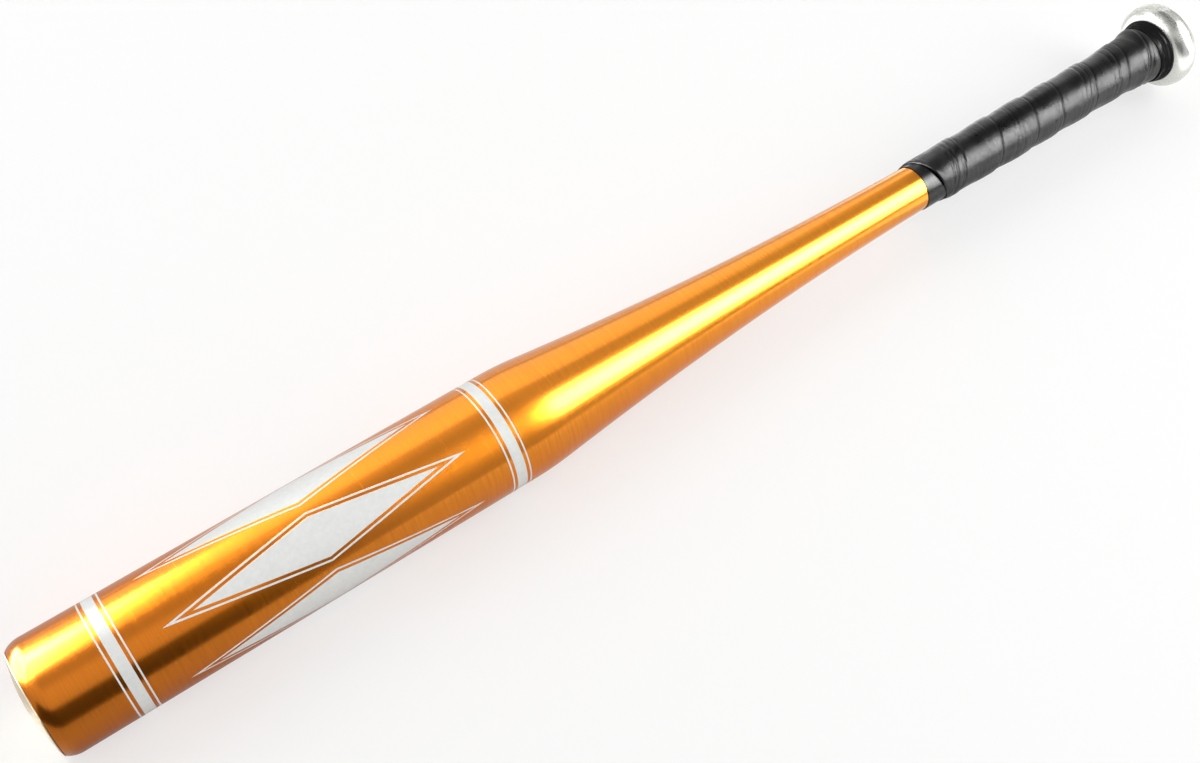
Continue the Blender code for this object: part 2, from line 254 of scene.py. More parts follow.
# The studio. Its places are given along X, and the sky's brightness at the sine of each elevation.
FLOOR_RADIUS = 30
FLOOR_GLOW = 1.16
FLOOR_GLOW_SHARE = 0.5
CARD_FADE_ENDS = (-0.36, 0.12)
CARD_OVER_FLOOR = 0.002
FLOOR_CARD_ENDS = (-0.85, 0.24)
FLOOR_CARD_SIDES = (0.012, 0.75)
FLAG_MIDDLE = (-0.33, 0)
FLAG_RADIUS = 1.0
FLAG_BEARINGS = range(-160, -75, 6)
FLAG_HEIGHTS = (-0.04, 0.72)
SHADE_RADIUS = 0.08
SHADE_FIRST_DEGREES = 44
SHADE_LAST_DEGREES = ((0.205, 101), (0.255, 110), (0.370, 114))
SHADE_POINTS = 12
KNOB_CARD_ENDS = (0.335, 0.43)
KNOB_CARD_Y = 0.045
KNOB_CARD_TOP = 0.11
SKY_BRIGHTNESS = ((0.0, 0.42), (0.45, 0.48), (0.75, 0.60), (0.93, 0.66), (0.99, 0.42))
BARREL_END = (-0.33, 0, 0.03)
ACROSS_THE_BARREL = (0, 1, 0.2)
OVER_THE_HANDLE = (-42.6, 37.4)
ACROSS_THE_HANDLE = (0, 0.75, 0.66)
STRAIGHT_DOWN = (-90, -89.9, 0.597)

# The camera, as fitted to the photographed outline
CAMERA_SENSOR = 36
CAMERA_LENS = 44.89
CAMERA_PLACE = (-0.3017, -0.3465, 0.6355)
CAMERA_DOWN_DEGREES = 55.27
CAMERA_TURN_DEGREES = -35.658


def extrude_ring(reach):
    bpy.ops.mesh.extrude_region_move(TRANSFORM_OT_translate={"value": (reach, 0, 0)})


def select_open_rings():
    bpy.ops.mesh.select_all(action="DESELECT")
    bpy.ops.mesh.select_non_manifold()


def finish_mesh(smooth_degrees):
    """Turns the active piece's faces outwards and smooths all but its sharp edges."""
    bpy.ops.object.mode_set(mode="EDIT")
    bpy.ops.mesh.select_all(action="SELECT")
    bpy.ops.mesh.normals_make_consistent(inside=False)
    bpy.ops.object.mode_set(mode="OBJECT")
    bpy.ops.object.shade_smooth_by_angle(angle=math.radians(smooth_degrees))


def turned(name, outline, sides=SIDES):
    """A piece turned on the bat's axis: a ring extruded along an outline of (station, radius).

    An outline that starts and ends on the axis closes there, and any other closes on itself.
    """
    on_axis = outline[0][1] < 1e-6
    rings = outline[1:-1] if on_axis else outline
    station, radius = rings[0]
    bpy.ops.object.select_all(action="DESELECT")
    bpy.ops.mesh.primitive_circle_add(
        vertices=sides,
        radius=radius,
        location=(TIP_X + station, 0, AXIS_HEIGHT),
        rotation=(0, math.pi / 2, 0),
    )
    piece = bpy.context.object
    piece.name = piece.data.name = name
    bpy.ops.object.transform_apply()
    bpy.ops.object.mode_set(mode="EDIT")
    bpy.ops.mesh.select_mode(type="VERT")
    bpy.ops.mesh.select_all(action="SELECT")
    for next_station, next_radius in rings[1:]:
        extrude_ring(next_station - station)
        share = next_radius / radius
        bpy.ops.transform.resize(
            value=(1, share, share),
            center_override=(TIP_X + next_station, 0, AXIS_HEIGHT),
        )
        station, radius = next_station, next_radius
    if on_axis:
        extrude_ring(outline[-1][0] - station)
        bpy.ops.mesh.merge(type="CENTER")
        select_open_rings()
        extrude_ring(outline[0][0] - rings[0][0])
        bpy.ops.mesh.merge(type="CENTER")
    else:
        select_open_rings()
        bpy.ops.mesh.bridge_edge_loops()
    finish_mesh(TURNED_SMOOTH_DEGREES)
    return piece


def arc(centre, radius, first, last, count):
    """Points (station, radius) on an arc. Angle 0 points away from the axis, and 90 degrees to the knob."""
    return [
        (centre[0] + radius * math.sin(a), centre[1] + radius * math.cos(a))
        for a in np.linspace(math.radians(first), math.radians(last), count)
    ]


def tube_radius(station):
    """The tube's outer radius: straight barrel, rounded knee, taper, handle and flare."""
    past = station - BARREL_LENGTH
    if abs(past) < KNEE_HALF_LENGTH:
        past = (past + KNEE_HALF_LENGTH) ** 2 / (4 * KNEE_HALF_LENGTH)
    share = min(max(past / (TAPER_END - BARREL_LENGTH), 0.0), 1.0)
    reach = max(0.0, station - FLARE_START)
    flare = FLARE_RADIUS - math.sqrt(FLARE_RADIUS**2 - reach**2)
    return HANDLE_RADIUS + (BARREL_RADIUS - HANDLE_RADIUS) * (1 - share) ** TAPER_POWER + flare


def make_gold_tube():
    """The drawn tube: rolled mouth, straight barrel, long taper, handle and flared end."""
    shoulder = (
        MOUTH_STATION + SHOULDER_RADIUS * math.sin(math.radians(SHOULDER_DEGREES)),
        BARREL_RADIUS - SHOULDER_RADIUS,
    )
    barrel = np.linspace(shoulder[0], BARREL_LENGTH - KNEE_HALF_LENGTH, 26)[1:]
    knee = np.linspace(barrel[-1], barrel[-1] + 2 * KNEE_HALF_LENGTH, 13)[1:]
    taper = np.linspace(knee[-1], TAPER_END, 60)[1:]
    handle = np.linspace(TAPER_END, TUBE_END, 30)[1:]
    outer = [(s, tube_radius(s)) for s in (*barrel, *knee, *taper, *handle)]
    inner = [(s, tube_radius(s) - TUBE_WALL) for s in np.linspace(TUBE_END, shoulder[0], 30)]
    lip = arc(shoulder, SHOULDER_RADIUS, -SHOULDER_DEGREES, 0, 14)
    inner_lip = arc(shoulder, SHOULDER_RADIUS - TUBE_WALL, 0, -INNER_LIP_DEGREES, 8)[1:]
    return turned("gold_tube", lip + outer + inner + inner_lip)


def make_domed_cap():
    """The pressed cap: a shallow dome, a small rolled rim and a skirt inside the mouth."""
    low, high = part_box("end_cap")
    rim_radius = high.y * INSIDE_FLATS
    sphere = (rim_radius**2 + DOME_HEIGHT**2) / (2 * DOME_HEIGHT)
    rim_degrees = math.degrees(math.asin(rim_radius / sphere))
    dome = arc((sphere, 0), sphere, -90 + rim_degrees * DOME_SHARE, -90, 44)
    inside = [(s + CAP_INNER_DEPTH, r * CAP_INNER_SHARE) for s, r in reversed(dome)]
    skirt_end = high.x - TIP_X
    skirt_radius = rim_radius - SKIRT_INSET
    skirt = [
        (skirt_end, inside[-1][1]),
        (skirt_end, skirt_radius - SKIRT_CHAMFER),
        (skirt_end - SKIRT_CHAMFER, skirt_radius),
        (CAP_RIM_STATION + SKIRT_FILLET, skirt_radius),
        (CAP_RIM_STATION, skirt_radius + SKIRT_FILLET),
        (CAP_RIM_STATION, rim_radius - CAP_RIM_ROUNDING),
    ]
    rim_centre = (CAP_RIM_STATION - CAP_RIM_ROUNDING, rim_radius - CAP_RIM_ROUNDING)
    rim = arc(rim_centre, CAP_RIM_ROUNDING, 60, -30, 5)
    return turned("domed_cap", inside + skirt + rim + dome)


def make_knob():
    """The cast knob, with soft edges, a spigot, and a vent hole in a shallow recess in its end."""
    edge = KNOB_EDGE_RADIUS
    near = arc((KNOB_STATION + edge, KNOB_RADIUS - edge), edge, -90, 0, 30)
    far = arc((BAT_LENGTH - edge, KNOB_RADIUS - edge), edge, 0, 90, 30)
    spigot_end = KNOB_STATION - SPIGOT_LENGTH
    spigot = [
        (s, tube_radius(s) - TUBE_WALL - SPIGOT_GAP) for s in np.linspace(spigot_end, KNOB_STATION, 8)
    ]
    recess = [
        (BAT_LENGTH, RECESS_RADIUS),
        (BAT_LENGTH - RECESS_CHAMFER, RECESS_RADIUS - RECESS_CHAMFER),
        (BAT_LENGTH - RECESS_DEPTH, RECESS_FLOOR_RADIUS),
    ]
    vent = [(BAT_LENGTH - RECESS_DEPTH, VENT_RADIUS), (BAT_LENGTH - KNOB_FLOOR, VENT_RADIUS)]
    bore = [(BAT_LENGTH - KNOB_FLOOR, BORE_RADIUS), (spigot_end, BORE_RADIUS)]
    return turned("knob_casting", spigot + near + far + recess + vent + bore)


def make_vent_plug():
    """The rubber plug: a flat head with a rounded edge, and a shank with a chamfered end."""
    top = BAT_LENGTH - PLUG_SETBACK
    underside = BAT_LENGTH - PLUG_HEAD_UNDERSIDE
    end = BAT_LENGTH - PLUG_LENGTH
    rounding = PLUG_HEAD_ROUNDING
    head = arc((top - rounding, PLUG_HEAD_RADIUS - rounding), rounding, 90, 0, 6)
    shank = [
        (underside, PLUG_HEAD_RADIUS),
        (underside, PLUG_SHANK_RADIUS),
        (end + PLUG_CHAMFER, PLUG_SHANK_RADIUS),
        (end, PLUG_SHANK_RADIUS - PLUG_CHAMFER),
    ]
    return turned("vent_plug_rubber", [(top, 0), *head, *shank, (end, 0)], PLUG_SIDES)


def make_smooth_tape():
    """Thin glossy tape under the padded strip. It shows between the gold tube and the strip's cut."""
    stations = np.linspace(TAPE_START, COLLAR_FOOT - TAPE_COLLAR_GAP, 60)
    outer = [(s, tube_radius(s) + TAPE_TOP) for s in stations]
    outer[0] = (outer[0][0], outer[0][1] - TAPE_EDGE_DROP)
    inner = [(s, tube_radius(s) + TAPE_UNDERSIDE) for s in stations[::-2]]
    return turned("smooth_tape", outer + inner)


def make_taped_collar():
    """Turns of tape over the weld against the knob, each set back a little from the one below."""
    foot = tube_radius(COLLAR_FOOT) + TAPE_TOP + STRIP_THICKNESS - COLLAR_FOOT_DROP
    outer = [(COLLAR_FOOT, foot)]
    for turn in range(COLLAR_TURNS):
        share = (turn + COLLAR_FIRST_EDGE) / COLLAR_TURNS
        edge = COLLAR_FOOT + (TUBE_END - COLLAR_FOOT) * share
        radius = foot + (COLLAR_TOP - foot) * share**COLLAR_SWELL
        for step, height in zip((-1, 0, 1), COLLAR_EDGE_HEIGHTS):
            outer.append((edge + step * COLLAR_EDGE_WIDTH, radius + height))
    outer.append((TUBE_END, COLLAR_TOP))
    weld_side = TUBE_END - COLLAR_WELD_REACH
    inner = [
        (TUBE_END, tube_radius(TUBE_END) + COLLAR_OVER_WELD),
        (weld_side, tube_radius(weld_side) + COLLAR_OVER_WELD),
        (COLLAR_FOOT, tube_radius(COLLAR_FOOT) + TAPE_TOP + COLLAR_OVER_TAPE),
    ]
    return turned("taped_collar", outer + inner)


def smooth_step(value, start, end):
    share = min(max((value - start) / (end - start), 0.0), 1.0)
    return share * share * (3 - 2 * share)


def drift(station, angle, turn):
    """A slow unevenness of the strip, another one on each turn."""
    across, up = DRIFT_ROUND * math.cos(angle), DRIFT_ROUND * math.sin(angle)
    return noise.noise(Vector((station * DRIFT_ALONG, across, up + turn)))


def knob_side_edge(turn):
    """Station of the strip's knob-side edge, evened out over part of a turn."""
    turns = FIRST_SEAM_TURN + np.arange(len(SEAMS))
    return float(np.mean([np.interp(turn + shift, turns, SEAMS) for shift in SEAM_EVENING]))


def strip_sides(turn):
    """Stations of the strip's barrel side before it is cut, and of both its sides as they are."""
    uncut = knob_side_edge(turn) - STRIP_WIDTH
    near, far = uncut, min(uncut + STRIP_WIDTH, COLLAR_FOOT - STRIP_COLLAR_GAP)
    if turn > CUT_CORNER_TURN:
        cut = (turn - CUT_CORNER_TURN) / (CUT_TIP_TURN - CUT_CORNER_TURN)
        near = max(near, CUT_CORNER_STATION + (CUT_TIP_STATION - CUT_CORNER_STATION) * cut)
    return uncut, min(near, far - STRIP_LEAST_WIDTH), far


def skived(across):
    """The strip's thickness, thinned towards its barrel side."""
    full = smooth_step(across, SKIVE_START, SKIVE_WIDTH)
    return SKIVED_EDGE + (STRIP_THICKNESS - SKIVED_EDGE) * full


def strip_height(across, pitch):
    """Heights of the strip's inner and outer face over the tape, across it from its barrel side."""
    below = across - pitch
    step = skived(below) + LAYER_GAP
    low = LAYER_GAP + smooth_step(below, -UNDERSIDE_CLIMB, 0) * step
    thin = smooth_step(below, LAP_THIN_START, STRIP_WIDTH - pitch)
    top = LAYER_GAP + smooth_step(below, -LAP_SWELL_WIDTH, LAP_SWELL_END) * step
    thickness = skived(across)
    return low, top + thickness + (LAP_EDGE - thickness) * thin


def cut_edge(turn):
    """How far in from the cut its rounding reaches, and the share of thickness left at the very edge."""
    begun = smooth_step(turn, CUT_CORNER_TURN, CUT_CORNER_TURN + ROLL_START_TURNS)
    rolled = begun * (1 - smooth_step(turn, *ROLLED_TURNS))
    tip = smooth_step(turn, *TIP_THIN_TURNS)
    reach = CUT_ROUNDING + ROLLED_ROUNDING * rolled + TIP_ROUNDING * tip
    return reach, EDGE_SHARE - THIN_EDGE_LOSS * max(rolled, tip)


def thickness_left(turn, rounding, from_cut, from_seam):
    """The share of the strip's thickness left near its rounded sides and its thinned tip."""
    reach, edge_share = rounding
    at_cut = edge_share + (1 - edge_share) * math.sqrt(min(1.0, from_cut / reach))
    at_seam = EDGE_SHARE + (1 - EDGE_SHARE) * math.sqrt(max(0.0, min(1.0, from_seam / SEAM_ROUNDING)))
    at_tip = smooth_step(turn, *TIP_THIN_TURNS) * (1 - smooth_step(from_cut, *TIP_THIN_REACH))
    return (1 - (1 - TIP_THIN_SHARE) * at_tip) * min(at_cut, at_seam)


def seam_groove(station, turn):
    """How far a turn is pressed in beside the edge of the turn wound over it."""
    seam = knob_side_edge(turn + 1)
    if turn > CUT_TIP_TURN - 1 and station < seam:
        return 0.0
    return SEAM_GROOVE_DEPTH * (1 - smooth_step(abs(station - seam), 0, SEAM_GROOVE_WIDTH))


def crease_depth(past_lap, turn):
    """Depth of the creases where the strip is pulled over the turn below."""
    depth = 0.0
    for index, (place, deepest, width) in enumerate(CREASES):
        row = index * CREASE_NOISE_STEP
        sway = CREASE_SWAY * noise.noise(Vector((turn * CREASE_SWAY_CYCLES, row, 0)))
        waxing = noise.noise(Vector((turn * CREASE_DEPTH_CYCLES, row, CREASE_DEPTH_ROW)))
        share = min(max(CREASE_SHARE + CREASE_SHARE_SPREAD * waxing, 0.0), 1.0)
        depth += deepest * share * math.exp(-(((past_lap - place - sway) / width) ** 2))
    return depth


def gather(station, angle):
    """A hollow and then a swell where the strip's first turn is bunched up against the collar."""
    past = (station - GATHER_STATION) / (COLLAR_FOOT - GATHER_STATION)
    if not 0 < past < 1:
        return 0.0
    across, up = GATHER_ROUND * math.cos(angle), GATHER_ROUND * math.sin(angle)
    bunch = GATHER_SHARE + GATHER_SHARE_SPREAD * noise.noise(Vector((across, up, GATHER_ROW)))
    return -GATHER_DEPTH * math.sin(2 * math.pi * past) * bunch


def cut_lift(turn, from_cut):
    """How far the strip is lifted off the tape beside its cut."""
    if turn <= CUT_CORNER_TURN:
        return 0.0
    along_cut = (turn - CUT_LIFT_TURN) / CUT_LIFT_TURNS
    inwards = from_cut / CUT_LIFT_WIDTH
    return CUT_LIFT_HEIGHT * math.exp(-(along_cut**2) - inwards**2)


def strip_section(turn, angle):
    """The strip's cross-section as (station, radius) points, out along its top and back below."""
    uncut, near, far = strip_sides(turn)
    pitch = knob_side_edge(turn - 1) - knob_side_edge(turn)
    rounding = cut_edge(turn)
    top, under = [], []
    for share in np.linspace(0, 1, POINTS_ACROSS):
        station = near + (far - near) * share
        low, high = strip_height(station - uncut, pitch)
        if turn < STRIP_START_TURN + 1:
            low, high = LAYER_GAP, LAYER_GAP + (high - low)
        high = low + (high - low) * thickness_left(turn, rounding, station - near, far - station)
        high += DRIFT_HEIGHT * drift(station, angle, turn)
        high += gather(station, angle)
        high -= seam_groove(station, turn) + crease_depth(station - uncut - pitch, turn)
        base = tube_radius(station) + TAPE_TOP + cut_lift(turn, station - near)
        top.append((station, base + high))
        under.append((station, base + low))
    return top + under[::-1]


def make_wound_grip():
    """One unbroken padded strip, wound from the knob to a long diagonal cut, each turn over the last."""
    count = round((CUT_TIP_TURN - STRIP_START_TURN) * SECTIONS_PER_TURN)
    points, faces = [], []
    for index in range(count + 1):
        turn = CUT_TIP_TURN - (count - index) / SECTIONS_PER_TURN
        angle = FRONT_ANGLE + 2 * math.pi * turn
        for station, radius in strip_section(turn, angle):
            y, z = radius * math.cos(angle), radius * math.sin(angle)
            points.append((TIP_X + station, y, AXIS_HEIGHT + z))
    ring = 2 * POINTS_ACROSS
    for start in range(ring, len(points), ring):
        for corner in range(ring):
            here = start + corner
            beside = start + (corner + 1) % ring
            faces.append((here, here - ring, beside - ring, beside))
    faces.append(tuple(range(ring)))
    faces.append(tuple(range(len(points) - 1, len(points) - 1 - ring, -1)))
    mesh = bpy.data.meshes.new("wound_grip")
    mesh.from_pydata(points, [], faces)
    piece = bpy.data.objects.new("wound_grip", mesh)
    bpy.context.scene.collection.objects.link(piece)
    bpy.ops.object.select_all(action="DESELECT")
    piece.select_set(True)
    bpy.context.view_layer.objects.active = piece
    finish_mesh(STRIP_SMOOTH_DEGREES)
    return piece


def node(tree, kind, inputs=None, **settings):
    """Adds a node. Each input is set to a value, or linked if it is given another node's output."""
    made = tree.nodes.new(kind)
    for name, value in settings.items():
        setattr(made, name, value)
    for name, value in (inputs or {}).items():
        if isinstance(value, bpy.types.NodeSocket):
            tree.links.new(value, made.inputs[name])
        else:
            made.inputs[name].default_value = value
    return made


def new_finish(name, **values):
    """A material with its Principled shader's sockets set, each named with _ for a space."""
    material = bpy.data.materials.new(name)
    material.use_nodes = True
    tree = material.node_tree
    shader = tree.nodes["Principled BSDF"]
    for socket, value in values.items():
        shader.inputs[socket.replace("_", " ")].default_value = value
    return material, tree, shader


def connect(tree, shader, **outputs):
    """Links the shader's sockets, each named with _ for a space."""
    for socket, output in outputs.items():
        tree.links.new(output, shader.inputs[socket.replace("_", " ")])


def vector_node(tree, operation, first, second=(0, 0, 0)):
    return node(tree, "ShaderNodeVectorMath", {0: first, 1: second}, operation=operation).outputs


def math_node(tree, operation, first, second=0.0, third=0.0):
    inputs = {0: first, 1: second, 2: third}
    return node(tree, "ShaderNodeMath", inputs, operation=operation).outputs[0]


def object_place(tree):
    return node(tree, "ShaderNodeTexCoord").outputs["Object"]


def split(tree, vector):
    return node(tree, "ShaderNodeSeparateXYZ", {0: vector}).outputs


def on_the_axis(tree, scale=(1, 1, 1)):
    """Object coordinates measured from the bat's axis, stretched by scale."""
    centred = vector_node(tree, "ADD", object_place(tree), (-TIP_X, 0, -AXIS_HEIGHT))[0]
    return vector_node(tree, "MULTIPLY", centred, scale)[0]


def noise_at(tree, vector, detail, roughness=0.55):
    inputs = {"Vector": vector, "Scale": 1.0, "Detail": detail, "Roughness": roughness}
    return node(tree, "ShaderNodeTexNoise", inputs).outputs["Fac"]


def grain(tree, along, across, detail=3.0, roughness=0.55):
    """Noise with so many cycles a metre along the bat's axis, and so many across it."""
    return noise_at(tree, on_the_axis(tree, (along, across, across)), detail, roughness)


def spread(tree, value, low, high, start=0.25, end=0.75):
    """Maps a texture's middle range to a finish value between low and high."""
    inputs = {"Value": value, "From Min": start, "From Max": end, "To Min": low, "To Max": high}
    return node(tree, "ShaderNodeMapRange", inputs).outputs["Result"]


def mix_number(tree, share, first, second):
    return node(tree, "ShaderNodeMix", {"Factor": share, 2: first, 3: second}).outputs[0]


def mix_colour(tree, share, first, second):
    made = node(tree, "ShaderNodeMix", {"Factor": share}, data_type="RGBA")
    for socket, value in ((made.inputs[6], first), (made.inputs[7], second)):
        if isinstance(value, bpy.types.NodeSocket):
            tree.links.new(value, socket)
        else:
            socket.default_value = (*value, 1)
    return made.outputs[2]


def varied(tree, texture, colours):
    """A colour that goes from one of a pair to the other with a texture."""
    return mix_colour(tree, spread(tree, texture, 0, 1), *colours)


def bump(tree, height, distance, strength=1.0, normal=None):
    inputs = {"Height": height, "Distance": distance, "Strength": strength}
    if normal:
        inputs["Normal"] = normal
    return node(tree, "ShaderNodeBump", inputs).outputs["Normal"]


def between(tree, value, low, high):
    above = math_node(tree, "GREATER_THAN", value, low)
    below = math_node(tree, "LESS_THAN", value, high)
    return math_node(tree, "MULTIPLY", above, below)


def printed_pattern(tree, place):
    """1 where white ink is printed on the barrel, and 0 elsewhere."""
    along = split(tree, place)
    turn = math_node(tree, "ARCTAN2", along["Z"], along["Y"])
    # One lozenge has its middle at the front of the bat
    round_the_bat = LOZENGES_ROUND / (2 * math.pi)
    shift = LOZENGES_ROUND + 0.5 - round_the_bat * FRONT_ANGLE
    share = math_node(tree, "FRACT", math_node(tree, "MULTIPLY_ADD", turn, round_the_bat, shift))
    aside = math_node(tree, "ABSOLUTE", math_node(tree, "SUBTRACT", share, 0.5))
    spacing = 2 * math.pi * BARREL_RADIUS / LOZENGES_ROUND
    aside = math_node(tree, "MULTIPLY", aside, spacing / LOZENGE_HALF_WIDTH)
    beyond = math_node(tree, "ABSOLUTE", math_node(tree, "SUBTRACT", along["X"], LOZENGE_STATION))
    beyond = math_node(tree, "DIVIDE", beyond, LOZENGE_HALF_LENGTH)
    reach = math_node(tree, "ADD", aside, beyond)
    ink = between(tree, reach, -1.0, 1.0)
    ink = math_node(tree, "MAXIMUM", ink, between(tree, reach, *LOZENGE_OUTLINE))
    for low, high in RING_BANDS + PIN_LINES:
        ink = math_node(tree, "MAXIMUM", ink, between(tree, along["X"], low, high))
    return ink


def gold_finish():
    """Gold anodised aluminium, brushed round the tube, with white ink printed on the barrel."""
    material, tree, shader = new_finish(
        "brushed_gold_anodise",
        Specular_IOR_Level=0.3,
        Coat_Weight=0.52,
        Coat_Roughness=0.19,
        Coat_IOR=1.55,
        Anisotropic=0.4,
        Anisotropic_Rotation=0.25,
    )
    round_the_tube = node(tree, "ShaderNodeTangent", direction_type="RADIAL", axis="X").outputs[0]
    place = on_the_axis(tree)
    fine = grain(tree, 5200, 150, 3.0, 0.6)
    streaks = grain(tree, 1050, 48, 3.0, 0.6)
    broad = grain(tree, 600, 14, 2.0)
    specks = grain(tree, 900, 900, 1.0)
    # The dye is a little yellower towards the handle
    dye = spread(tree, split(tree, place)["X"], 0, 1, *DYE_STATIONS)
    gold = mix_colour(tree, dye, varied(tree, fine, BARREL_GOLD), varied(tree, fine, HANDLE_GOLD))
    gold = mix_colour(tree, spread(tree, streaks, 0, 0.42, 0.30, 0.70), gold, STREAK_GOLD)
    gold = mix_colour(tree, spread(tree, broad, 0, 0.06), gold, CLOUD_GOLD)
    gold = mix_colour(tree, spread(tree, specks, 0, 0.5, 0.76, 0.80), gold, SPECK_GOLD)
    ink = printed_pattern(tree, place)
    white = varied(tree, grain(tree, 420, 420), WHITE_INK)
    streaked = spread(tree, streaks, 0.18, 0.268, 0.30, 0.70)
    bare = math_node(tree, "ADD", streaked, spread(tree, broad, -0.01, 0.015))
    brushed = bump(tree, streaks, 0.000008, 1.0, bump(tree, fine, 0.000004))
    connect(
        tree,
        shader,
        Tangent=round_the_tube,
        Base_Color=mix_colour(tree, ink, gold, white),
        Metallic=math_node(tree, "SUBTRACT", 1.0, ink),
        Roughness=mix_number(tree, ink, bare, INK_ROUGHNESS),
        Normal=bump(tree, ink, 0.00003, 0.6, brushed),
    )
    return material


def cap_finish():
    """Pale satin gold, spun in fine rings about the cap's middle."""
    material, tree, shader = new_finish(
        "spun_pale_gold", Metallic=1.0, Coat_Weight=0.6, Coat_Roughness=0.25, Coat_IOR=1.5,
    )
    flat = vector_node(tree, "MULTIPLY", on_the_axis(tree), (0, 1, 1))[0]
    radius = vector_node(tree, "LENGTH", flat)["Value"]
    radius = math_node(tree, "MULTIPLY", radius, 2400.0)
    rings = noise_at(tree, node(tree, "ShaderNodeCombineXYZ", {"X": radius}).outputs[0], 3.0)
    cloud = grain(tree, 110, 110)
    colour = varied(tree, rings, PALE_GOLD)
    colour = mix_colour(tree, spread(tree, cloud, 0, 0.3), colour, PALE_GOLD_CLOUD)
    gloss = spread(tree, rings, 0.30, 0.42)
    connect(tree, shader, Base_Color=colour, Roughness=gloss, Normal=bump(tree, rings, 0.00001))
    return material


def knob_finish():
    """Polished cast aluminium, with faint buffing marks and shallow dents."""
    material, tree, shader = new_finish("polished_casting", Metallic=0.84, Specular_IOR_Level=0.5)
    buffing = grain(tree, 1500, 60)
    cast = grain(tree, 130, 130)
    pits = grain(tree, 1300, 1300, 2.0)
    colour = varied(tree, cast, CAST_ALUMINIUM)
    colour = mix_colour(tree, spread(tree, pits, 0, 0.25, 0.72, 0.80), colour, CASTING_PITS)
    gloss = math_node(tree, "ADD", spread(tree, cast, 0.22, 0.28), spread(tree, buffing, 0, 0.04))
    buffed = bump(tree, buffing, 0.000003, 1.0, bump(tree, cast, 0.000003))
    connect(tree, shader, Base_Color=colour, Roughness=gloss, Normal=buffed)
    return material


def weld_finish():
    """Dull weld metal with close ripples round the joint."""
    material, tree, shader = new_finish("weld_bead", Metallic=1.0)
    ripples = grain(tree, 900, 420)
    connect(
        tree,
        shader,
        Base_Color=varied(tree, ripples, WELD_METAL),
        Roughness=spread(tree, ripples, 0.42, 0.62),
        Normal=bump(tree, ripples, 0.00015),
    )
    return material


def rubber_finish():
    """Matt black rubber with a fine moulded grain."""
    material, tree, shader = new_finish("moulded_rubber")
    moulded = grain(tree, 3000, 3000, 2.0)
    connect(
        tree,
        shader,
        Base_Color=varied(tree, moulded, BLACK_RUBBER),
        Roughness=spread(tree, moulded, 0.62, 0.78),
        Normal=bump(tree, moulded, 0.00003),
    )
    return material


def tape_finish():
    """Glossy black vinyl tape, pulled tight round the handle."""
    material, tree, shader = new_finish("glossy_vinyl_tape", Specular_IOR_Level=0.36)
    pull = grain(tree, 420, 60)
    dust = grain(tree, 2200, 2200, 2.0)
    connect(
        tree,
        shader,
        Base_Color=varied(tree, dust, BLACK_VINYL),
        Roughness=spread(tree, pull, 0.20, 0.30),
        Normal=bump(tree, pull, 0.00005),
    )
    return material


def cloth_tape_finish():
    """Dull black cloth tape with a fine crossed thread and rubbed marks."""
    material, tree, shader = new_finish("matt_cloth_tape")
    thread = grain(tree, 3200, 900, 2.0)
    rubbed = grain(tree, 620, 75)
    connect(
        tree,
        shader,
        Base_Color=varied(tree, thread, BLACK_CLOTH),
        Roughness=spread(tree, rubbed, 0.60, 0.32, 0.52, 0.64),
        Specular_IOR_Level=spread(tree, rubbed, 0.06, 0.34, 0.52, 0.64),
        Normal=bump(tree, thread, 0.00003),
    )
    return material


def strip_finish():
    """Black leather-look strip: a fine grain with a satin sheen, drawn into light creases."""
    material, tree, shader = new_finish("satin_leather_strip", Specular_IOR_Level=0.39)
    pores = {"Vector": on_the_axis(tree, (1900, 1900, 1900)), "Scale": 1.0}
    pores = node(tree, "ShaderNodeTexVoronoi", pores, feature="F1").outputs["Distance"]
    creases = grain(tree, 560, 130, 4.0)
    wear = grain(tree, 95, 95, 4.0)
    gloss = math_node(tree, "ADD", spread(tree, wear, 0.25, 0.40), spread(tree, creases, -0.04, 0.06))
    connect(
        tree,
        shader,
        Base_Color=varied(tree, wear, BLACK_LEATHER),
        Roughness=gloss,
        Normal=bump(tree, pores, 0.00005, 1.0, bump(tree, creases, 0.00024)),
    )
    return material


def floor_finish():
    """Pale matt floor with a barely seen unevenness, which looks brighter than it lights the bat."""
    material, tree, shader = new_finish("pale_floor", Roughness=0.9, Specular_IOR_Level=0.1)
    cloud = {"Vector": object_place(tree), "Scale": 1.3, "Detail": 2.0}
    cloud = node(tree, "ShaderNodeTexNoise", cloud).outputs["Fac"]
    connect(tree, shader, Base_Color=mix_colour(tree, cloud, *PALE_FLOOR))
    path = node(tree, "ShaderNodeLightPath").outputs
    seen = math_node(tree, "MAXIMUM", path["Is Camera Ray"], path["Is Glossy Ray"])
    seen = math_node(tree, "MAXIMUM", seen, path["Is Transmission Ray"])
    share = math_node(tree, "MULTIPLY", seen, FLOOR_GLOW_SHARE)
    glow = node(tree, "ShaderNodeEmission", {"Color": (1, 1, 1, 1), "Strength": FLOOR_GLOW})
    mixed = {0: share, 1: shader.outputs[0], 2: glow.outputs[0]}
    mixed = node(tree, "ShaderNodeMixShader", mixed).outputs[0]
    connect(tree, tree.nodes["Material Output"], Surface=mixed)
    return material


def card_finish(name, dark, pale):
    """Matt grey that goes from dark at the barrel's end to pale at the grip, as painted shade in
    reflections.
    """
    material, tree, shader = new_finish(name, Roughness=0.9, Specular_IOR_Level=0.0)
    share = spread(tree, split(tree, object_place(tree))["X"], 0, 1, *CARD_FADE_ENDS)
    connect(tree, shader, Base_Color=mix_colour(tree, share, (dark,) * 3, (pale,) * 3))
    return material


